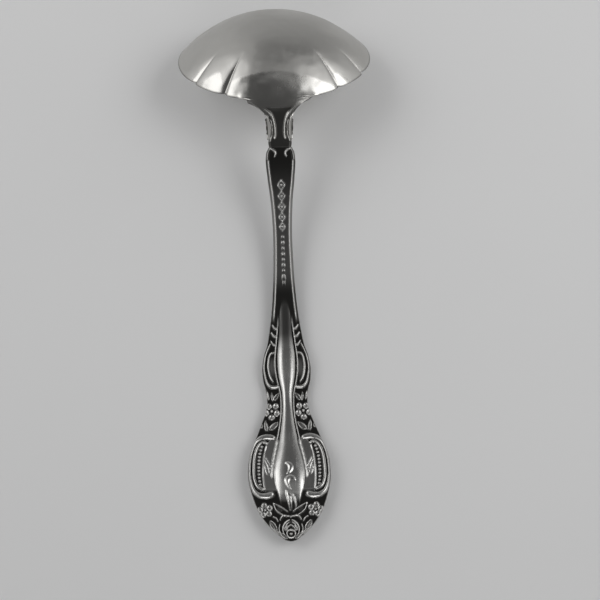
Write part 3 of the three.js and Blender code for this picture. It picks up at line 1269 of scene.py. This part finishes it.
@dataclass
class FlutedBowl:
    """The pressed bowl, with the shank that runs out of its heel down to the weld.

    Attributes:
        fullness: Exponent of its profile: a higher one is fuller at the rim.
        flutes: Angles of the flutes on each side, counted from the heel in degrees.
        flute_turn: Turn of the whole set.
        flute_widths: Widths of a flute's steep and shallow flank.
        flute_reach: Share of the radius that they run in from the rim.
        heel_half: Half the width of the rim's stretch that the shank grows from.
        set_over: How far the bowl stands to one side of the handle's line.
        shank_plan: Half widths of the shank, from the rim to the weld.
        ridge_line: Distance of its ridges from the middle line.
        second_line: The same for the thin ridges outside them.
        sunk: Depth of its sunk panel.
        polish_line: How far back the bright heel begins, and how much nearer it does so at its sides.
        rim_round: Width of the rim's rounding.
        ring_spacing: Exponent that draws the rings together towards the rim.
    """

    line: HandleLine
    stance: Stance
    half_width: float = 30.0
    half_length: float = 25.25
    depth: float = 13.8
    fullness: float = 2.3
    wall: float = 1.25
    shank_thickness: float = 3.0
    columns: int = 456
    rings: int = 62
    flutes: tuple[float, ...] = (36.5, 61.0, 119.0, 143.5)
    flute_turn: float = 5.0
    flute_depth: float = 1.35
    flute_widths: tuple[float, float] = (0.55, 1.7)
    flute_reach: float = 0.42
    # Painted shadow along the rim's edge face.
    painted_edge_shade: float = 0.9
    heel_half: float = 12.4
    set_over: float = -1.1
    shank_rows: int = 56
    shank_plan: Table = (
        (0.0, 12.4), (0.12, 11.2), (0.4, 9.9), (1.0, 8.4), (2.2, 6.5), (4.0, 4.75), (6.5, 3.8), (9.6, 3.6),
        (12.5, 3.65), (14.0, 3.5), (14.7, 3.35),
    )
    ridge_line: Table = (
        (0.0, 6.6), (2.9, 3.95), (4.5, 2.5), (6.5, 1.8), (8.5, 1.45), (10.5, 1.38), (11.8, 1.6),
        (14.7, 2.6),
    )
    second_line: Table = (
        (0.0, 7.8), (4.0, 3.9), (6.5, 2.65), (8.5, 2.25), (10.5, 2.3), (12.2, 2.85), (14.7, 3.6),
    )
    sunk: float = 0.42
    polish_line: tuple[float, float] = (19.3, 3.9)
    rim_round: float = 0.3
    ring_spacing: float = 0.8

    def angles(self) -> Array:
        """Spreads the columns round the bowl, closer together at the flutes and at the heel.

        Returns:
            One angle for each column, counted from the heel, in radians.
        """
        fine = np.linspace(-math.pi, math.pi, 7201)
        weight = np.ones_like(fine)
        for flute in self.flutes:
            for side in (-1.0, 1.0):
                crease = math.radians(self.flute_turn + side * flute)
                weight += 3.4 * hill(fine, crease, 0.075)
        weight += 1.6 * np.exp(-((fine / 0.42) ** 4))
        total = np.concatenate([[0.0], np.cumsum((weight[1:] + weight[:-1]) / 2)])
        return np.interp(np.arange(self.columns + 1) / self.columns, total / total[-1], fine)

    def pinch(self, angle: Array, share: Array) -> Array:
        """Gives how deep the flutes are.

        Args:
            angle: Angles from the heel.
            share: Shares of the radius, 0 at the top and 1 at the rim.

        Returns:
            The depth as a share of the flutes' depth at the rim.
        """
        radius = (self.half_width + self.half_length) / 2
        depth = np.zeros_like(angle)
        for number, flute in enumerate(self.flutes):
            reach = self.flute_reach * (1.0 if number % 2 == 0 else 0.75)
            fade = unit((share - (1.0 - reach)) / reach) ** 1.1
            for side in (-1.0, 1.0):
                crease = math.radians(self.flute_turn + side * flute)
                away = side * np.angle(np.exp(1j * (angle - crease))) * radius * share
                toward_side = 1.0 if flute < 90.0 else -1.0
                steep, shallow = self.flute_widths
                width = np.where(away * toward_side < 0, steep, shallow) * (0.35 + 0.65 * fade)
                gap = np.sqrt(away**2 + 0.012) - 0.11
                depth = np.maximum(depth, fade * np.exp(-gap / width))
        return depth

    def dome(self, angle: Array, share: Array) -> tuple[Array, Array, Array]:
        """Finds points of the bowl's outside, in the bench frame.

        Args:
            angle: Angles from the heel.
            share: Shares of the radius.

        Returns:
            The x, y and z of each point.
        """
        depth = self.flute_depth * self.pinch(angle, share)
        slope = self.depth * self.fullness * share ** (self.fullness - 1.0)
        across = self.half_width * np.sin(angle)
        along = -self.half_length * np.cos(angle)
        radius = np.hypot(across, along)
        lean = np.arctan(slope / radius)
        inward = depth * np.sin(lean) ** 0.5
        shrink = share - inward * 0.85 / radius
        sink = depth * np.cos(lean) * 0.35 * (1.0 - share**8)
        height = self.depth * (1.0 - share**self.fullness) - sink
        return across * shrink + self.set_over, along * shrink, height

    def shank_relief(self, back: Array, offset: Array) -> Array:
        """Finds the relief of the shank's top: two ridges on each side, and a border.

        Args:
            back: Distances from the rim towards the weld.
            offset: Distances from the middle line.

        Returns:
            The height over the sunk panel.
        """
        away = np.abs(offset)
        second = eased(self.second_line, back)
        first = 0.46 * hill(away, eased(self.ridge_line, back), 0.29) * (1.0 - smoothstep(back, 11.3, 12.4))
        other = 0.34 * hill(away, second, 0.17) * between(back, (5.5, 7.5, 12.4, 13.2))
        border = 0.3 * smoothstep(away - second, 0.25, 0.5) * (1.0 - smoothstep(back, 12.6, 13.4))
        return np.maximum.reduce([first, other, border])

    def shank_point(self, back: Array, share: Array) -> tuple[Array, Array, Array]:
        """Finds points of the shank's top.

        Args:
            back: Distances from the rim towards the weld.
            share: Shares of the half width, from -1 to 1.

        Returns:
            The x, y and z of each point.
        """
        half = eased(self.shank_plan, back)
        offset = share * half
        sunk = (self.sunk - self.shank_relief(back, offset)) * smoothstep(back, 1.6, 4.2)
        shoulder = 0.5 * (1.0 - smoothstep(half - np.abs(offset), -0.05, 0.75))
        return self.wrapped(back, offset, self.shank_thickness / 2 - sunk - shoulder)

    def shank_underside(self, back: Array, share: Array) -> tuple[Array, Array, Array]:
        """Finds points of the shank's underside.

        Args:
            back: Distances from the rim towards the weld.
            share: Shares of the half width, from -1 to 1.

        Returns:
            The x, y and z of each point.
        """
        offset = share * eased(self.shank_plan, back)
        reach = 1.7 + (self.shank_thickness - 1.7) * smoothstep(back, 0.0, 7.0)
        round_off = 0.35 * np.abs(share) ** 6
        return self.wrapped(back, offset, self.shank_thickness / 2 - reach + round_off)

    def wrapped(self, back: Array, offset: Array, height: Array) -> tuple[Array, Array, Array]:
        """Finds points off the shank's middle line, which bends round the rim near the heel.

        Args:
            back: Distances from the rim towards the weld.
            offset: Distances from the middle line.
            height: Heights over it.

        Returns:
            The x, y and z of each point.
        """
        y, z = self.line.lifted(self.line.length - back, height)
        away = self.half_length * (1.0 - np.sqrt(1.0 - (offset / self.half_width) ** 2))
        return offset, y + (1.0 - smoothstep(back, 0.0, 6.0)) * away, z

    def shank_film(self, back: Array, share: Array) -> Array:
        """Finds how much dark film is left on the shank's top.

        Args:
            back: Distances from the rim towards the weld.
            share: Shares of the half width, from -1 to 1.

        Returns:
            The film, from 0 to 1.
        """
        offset = share * eased(self.shank_plan, back)
        low = 1.0 - smoothstep(self.shank_relief(back, offset), 0.06, 0.24)
        inside = 1.0 - smoothstep(np.abs(offset) - eased(self.ridge_line, back), 0.0, 1.5)
        start = smoothstep(back, 2.1, 2.7) * inside + smoothstep(back, 4.0, 6.0) * (1.0 - inside)
        border = smoothstep(np.abs(offset) - eased(self.second_line, back), 0.3, 0.6)
        return np.maximum(0.96 * low * start, 0.5 * border * smoothstep(back, 4.0, 6.5))

    def mesh(self) -> Mesh:
        """Makes the bowl's outside, draws the shank out of its heel, and gives both their inside.

        Returns:
            The mesh, which keeps the film with the rim's painted shadow, and the polish, as attributes.
        """
        made, column, row = flat_grid(self.columns, self.rings)
        shares = (row / self.rings) ** self.ring_spacing
        move_points(made, np.stack(self.dome(self.angles()[column], shares), axis=-1) * MM)
        bmesh.ops.remove_doubles(made, verts=made.verts, dist=1e-7)
        polish = made.verts.layers.float.new("polish")
        film_and_shade = made.verts.layers.float.new("film_and_shade_layer")
        for vertex, pressed in zip(made.verts, self.pressed_polish(made)):
            x, y, _ = vertex.co / MM
            edge = self.polish_line[0] - self.polish_line[1] * smoothstep(abs(x), 16.5, 18.0)
            vertex[polish] = float(np.maximum(smoothstep(-y - edge, -0.4, 0.4), pressed))
        inside = self.draw_shank(made, polish, film_and_shade)
        self.ease_heel(made)
        self.add_inside(made, inside, film_and_shade)
        points = np.array([vertex.co for vertex in made.verts]) / MM
        move_points(made, self.stance.placed(*points.T))
        return made

    def pressed_polish(self, made: Mesh) -> Array:
        """Finds how well the die's pinch has burnished each point of the dome.

        Args:
            made: The dome, in the bench frame.

        Returns:
            The polish of each vertex, from 0 to 1.
        """
        place = np.array([vertex.co for vertex in made.verts]) / MM - np.array([self.set_over, 0.0, 0.0])
        share = np.hypot(place[:, 0] / self.half_width, place[:, 1] / self.half_length)
        angle = np.arctan2(place[:, 0] / self.half_width, -place[:, 1] / self.half_length)
        return smoothstep(self.pinch(angle, unit(share)), 0.12, 0.4)

    def draw_shank(self, made: Mesh, polish: Any, film_and_shade: Any) -> dict[Any, Vector]:
        """Extrudes the heel's stretch of the rim, row by row, down to the weld.

        Args:
            made: The bowl, in the bench frame.
            polish: The vertex layer of how polished the steel is.
            film_and_shade: The vertex layer of dark film and painted shade; here it takes the shank's film.

        Returns:
            The point of the underside that belongs to each vertex of the shank's top.
        """
        front = [edge for edge in made.edges if edge.is_boundary and self.on_heel(edge)]
        start = sorted({vertex for edge in front for vertex in edge.verts}, key=lambda vertex: vertex.co.x)
        share = np.array([vertex.co.x for vertex in start]) / MM / self.heel_half
        rim = np.array([vertex.co for vertex in start]) / MM
        drawn = np.stack(self.shank_point(np.zeros_like(share), share), axis=-1)
        total = self.line.length - self.line.weld
        inside: dict[Any, Vector] = {}
        for row in range(1, self.shank_rows + 1):
            back = np.full_like(share, total * row / self.shank_rows)
            step = bmesh.ops.extrude_edge_only(made, edges=front)["geom"]
            fresh = [item for item in step if isinstance(item, bmesh.types.BMVert)]
            fresh.sort(key=lambda vertex: vertex.co.x)
            ends = set(fresh)
            edges = (item for item in step if isinstance(item, bmesh.types.BMEdge))
            front = [edge for edge in edges if ends.issuperset(edge.verts)]
            blend = (rim - drawn) * (1.0 - smoothstep(back, 0.0, 7.0))[:, None]
            points = np.stack(self.shank_point(back, share), axis=-1) + blend
            below = np.stack(self.shank_underside(back, share), axis=-1) + blend
            darkening = self.shank_film(back, share)
            for vertex, point, under, left in zip(fresh, points, below, darkening):
                vertex.co = Vector(point) * MM
                vertex[polish] = 1.0
                vertex[film_and_shade] = float(left)
                inside[vertex] = Vector(under) * MM
        return inside

    def add_inside(self, made: Mesh, inside: dict[Any, Vector], film_and_shade: Any) -> None:
        """Turns the sheet into a solid: an inside under every face, and walls along its edge.

        Args:
            made: The sheet, in the bench frame.
            inside: The underside's points where they are known. Elsewhere the wall's thickness sets them.
            film_and_shade: The vertex layer of dark film and painted shade. A painted shadow is laid along
                the edge.
        """
        made.normal_update()
        faces = list(made.faces)
        sign = 1.0 if sum(face.normal.z * face.calc_area() for face in faces) > 0 else -1.0
        target: list[Vector] = []
        on_edge: list[bool] = []
        number = made.verts.layers.int.new("number")
        for vertex in made.verts:
            x, y, _ = vertex.co / MM
            near_heel = float(smoothstep(-y, 19.0, 24.5) * smoothstep(-abs(x), -13.0, -8.0))
            offset = vertex.co - vertex.normal * sign * (self.wall + 0.5 * near_heel) * MM
            known = inside.get(vertex)
            if known is not None:
                share = float(smoothstep(-y, self.half_length, self.half_length + 2.0))
                offset = offset.lerp(known, share)
            vertex[number] = len(target)
            target.append(offset)
            on_edge.append(vertex.is_boundary)
            # Painted shadow: the rim's edge is darkened as though its edge face lay in shade.
            if vertex.is_boundary and known is None:
                vertex[film_and_shade] = 0.8 * self.painted_edge_shade
        lower = bmesh.ops.extrude_face_region(made, geom=faces, use_keep_orig=True)["geom"]
        for vertex in (item for item in lower if isinstance(item, bmesh.types.BMVert)):
            vertex.co = target[vertex[number]]
            # Painted shadow: the lower copy of the rim's edge takes the full painted edge shade.
            vertex[film_and_shade] = self.painted_edge_shade if on_edge[vertex[number]] else 0.0
        made.verts.layers.int.remove(number)

    def on_heel(self, edge: bmesh.types.BMEdge) -> bool:
        """Tells whether a rim edge is on the stretch that the shank grows from."""
        reach = self.heel_half * MM + 1e-5
        return all(vertex.co.y < 0 and abs(vertex.co.x) < reach for vertex in edge.verts)

    def ease_heel(self, made: Mesh) -> None:
        """Smooths the turn where the bowl's wall runs into the shank.

        Args:
            made: The bowl with its shank, in the bench frame.
        """
        half = (self.heel_half + 1.0) * MM
        for spread in (4.5, 3.5, 2.5, 2.0):
            low = -(self.half_length + spread * 0.6) * MM
            high = -(self.half_length - 3.5 - spread) * MM
            loose = [vertex for vertex in made.verts if not vertex.is_boundary]
            near = [vertex for vertex in loose if abs(vertex.co.x) < half and low < vertex.co.y < high]
            for _ in range(6):
                bmesh.ops.smooth_vert(made, verts=near, factor=0.5, use_axis_y=True, use_axis_z=True)

    def build(self, finish: SteelFinish) -> Piece:
        """Makes the bowl and rounds its rim.

        Args:
            finish: The steel that it is dressed in.

        Returns:
            The bowl.
        """
        piece = piece_from(self.mesh(), "fluted_bowl")
        rim = piece.modifiers.new("rim", "BEVEL")
        rim.width = self.rim_round * MM
        rim.segments = 3
        rim.limit_method = "ANGLE"
        rim.angle_limit = math.radians(55)
        rim.harden_normals = False
        piece.data.materials.append(finish.material())
        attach(piece, "root")
        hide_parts("bowl")
        return piece


# ---------------------------------------------------------------- the studio


@dataclass(frozen=True)
class Softbox:
    """A soft rectangular light.

    Attributes:
        azimuth: Where it stands round the ladle, in degrees from +X towards +Y.
        elevation: How high it stands, in degrees.
        distance: Its distance from the ladle, in metres.
        size: Its two sides, in metres.
        power: Its power, in watts.
    """

    name: str
    azimuth: float
    elevation: float
    distance: float
    size: tuple[float, float]
    power: float

    def place(self, target: Vector) -> Piece:
        """Hangs the light, facing a target.

        Args:
            target: What it faces.

        Returns:
            The light.
        """
        data = bpy.data.lights.new(self.name, "AREA")
        data.shape = "RECTANGLE"
        data.size, data.size_y = self.size
        data.energy = self.power
        lamp = bpy.data.objects.new(self.name, data)
        turn, tilt = math.radians(self.azimuth), math.radians(self.elevation)
        toward = Vector((math.cos(turn) * math.cos(tilt), math.sin(turn) * math.cos(tilt), math.sin(tilt)))
        lamp.location = target + toward * self.distance
        lamp.rotation_euler = toward.to_track_quat("Z", "Y").to_euler()
        bpy.context.scene.collection.objects.link(lamp)
        return lamp


@dataclass
class Studio:
    """The floor, the room's light and the camera.

    Attributes:
        camera_azimuth: Where the camera stands round the ladle, in degrees from -Y.
        aim: What it faces, in millimetres from the handle's tip.
        front_wall: Brightness of the wall behind the camera, low down.
        dark_patch: Brightness of the dark patches in front and behind.
    """

    camera_azimuth: float = -1.73
    camera_elevation: float = 64.58
    camera_distance: float = 0.48
    lens: float = 98.57
    aim: tuple[float, float, float] = (4.52, 71.0, 10.0)
    floor_color: tuple[float, float, float] = (0.78, 0.78, 0.78)
    # Painted light: the floor's paler far colour stands in for light fall-off.
    floor_painted_light_color: tuple[float, float, float] = (0.9, 0.9, 0.9)
    ceiling: float = 0.36
    side_walls: float = 0.66
    back_wall: float = 0.55
    front_wall: float = 2.3
    dark_patch: float = 0.09
    softboxes: tuple[Softbox, ...] = (
        Softbox("key_right", -13.0, 46.0, 0.58, (0.38, 0.32), 0.72),
        Softbox("fill_left", 180.0, 46.0, 0.58, (0.38, 0.34), 0.46),
    )
    light_aim: tuple[float, float, float] = (0.0, 0.066, 0.02)
    floor_gap: float = 0.00002

    def room(self) -> None:
        """Lights the room: grey overhead, paler walls, and a dark patch in front and behind."""
        world = bpy.data.worlds.new("room")
        bpy.context.scene.world = world
        world.use_nodes = True
        net = NodeNet(world.node_tree)
        x, y, _ = net.node("SeparateXYZ", {0: net.node("TexCoord", {})["Generated"]})
        aside = net.math("ABSOLUTE", x)

        def product(*spans: tuple[Any, ...]) -> Any:
            """Multiplies soft ramps.

            Args:
                *spans: What soft_ramp takes for each.

            Returns:
                The product.
            """
            total = net.soft_ramp(*spans[0])
            for span in spans[1:]:
                total = net.math("MULTIPLY", total, net.soft_ramp(*span))
            return total

        low_side = product((aside, 0.25, 0.6), (y, 0.42, 0.6, 1.0, 0.0))
        back = net.soft_ramp(y, 0.55, 0.85, self.ceiling, self.back_wall)
        ends = net.soft_ramp(y, -0.92, -0.8, self.front_wall, back)
        walls = net.soft_ramp(low_side, 0.0, 1.0, ends, self.side_walls)
        bright = net.math("MULTIPLY", walls, net.soft_ramp(x, -0.9, 0.9, 1.1, 1.0))
        front = product((aside, 0.47, 0.56, 1.0, 0.0), (y, 0.04, 0.1, 1.0, 0.0), (y, -0.92, -0.8))
        behind_x = product((x, -0.52, -0.1), (x, 0.5, 0.84, 1.0, 0.0))
        behind = net.math("MULTIPLY", behind_x, product((y, 0.16, 0.28), (y, 0.42, 0.8, 1.0, 0.4)))
        level = net.mix(net.math("MAXIMUM", front, behind), bright, self.dark_patch)
        net.feed(net.found("BACKGROUND"), {"Strength": level, "Color": (1.0, 1.0, 1.0, 1.0)})

    def floor(self) -> Piece:
        """Lays the pale floor.

        Returns:
            The floor.
        """
        made = bmesh.new()
        bmesh.ops.create_grid(made, x_segments=1, y_segments=1, size=3.0)
        for vertex in made.verts:
            vertex.co.z = -self.floor_gap
        floor = piece_from(made, "floor")
        paint = PaintFinish("pale_floor", self.floor_color, self.floor_painted_light_color)
        floor.data.materials.append(paint.material())
        return floor

    def camera(self) -> Piece:
        """Sets the camera up.

        Returns:
            The camera.
        """
        data = bpy.data.cameras.new("camera")
        data.lens = self.lens
        data.sensor_width = 36.0
        data.clip_start = 0.01
        made = bpy.data.objects.new("camera", data)
        turn, tilt = math.radians(self.camera_azimuth), math.radians(self.camera_elevation)
        back = Vector((math.sin(turn) * math.cos(tilt), -math.cos(turn) * math.cos(tilt), math.sin(tilt)))
        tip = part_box("handle")[0][1]
        target = Vector(self.aim) * MM + Vector((0.0, tip, 0.0))
        made.location = target + back * self.camera_distance
        made.rotation_euler = back.to_track_quat("Z", "Y").to_euler()
        bpy.context.scene.collection.objects.link(made)
        bpy.context.scene.camera = made
        return made

    def build(self) -> None:
        """Sets up the floor, the lights and the camera."""
        self.floor()
        self.room()
        for box in self.softboxes:
            box.place(Vector(self.light_aim))
        self.camera()


# ---------------------------------------------------------------- everything together


def main() -> None:
    """Builds the ladle's pieces in order, then the studio round them."""
    logging.basicConfig(level=logging.INFO, format="%(name)s: %(message)s")
    bpy.context.scene.view_settings.view_transform = "Standard"
    line = HandleLine()
    stance = Stance.resting(line, far_rim=25.25, underside=1.7, land=0.12)
    LOG.info("rim tilted %.2f degrees", math.degrees(stance.tilt))
    bowl_steel = SteelFinish(
        "bowl_steel", (0.56, 0.552, 0.53), roughness=0.34, polished=0.12,
        scratches=0.04, smudges=0.16, film_and_shade=0.92, ripple=0.00055,
    )
    handle_steel = SteelFinish(
        "handle_steel", (0.6, 0.595, 0.58), roughness=0.19, polished=0.19,
        scratches=0.08, smudges=0.08, film_and_shade=0.96, ripple=0.00005,
    )
    FlutedBowl(line, stance).build(bowl_steel)
    StruckHandle(line, stance).build(handle_steel)
    Studio().build()


if __name__ == "__main__":
    main()
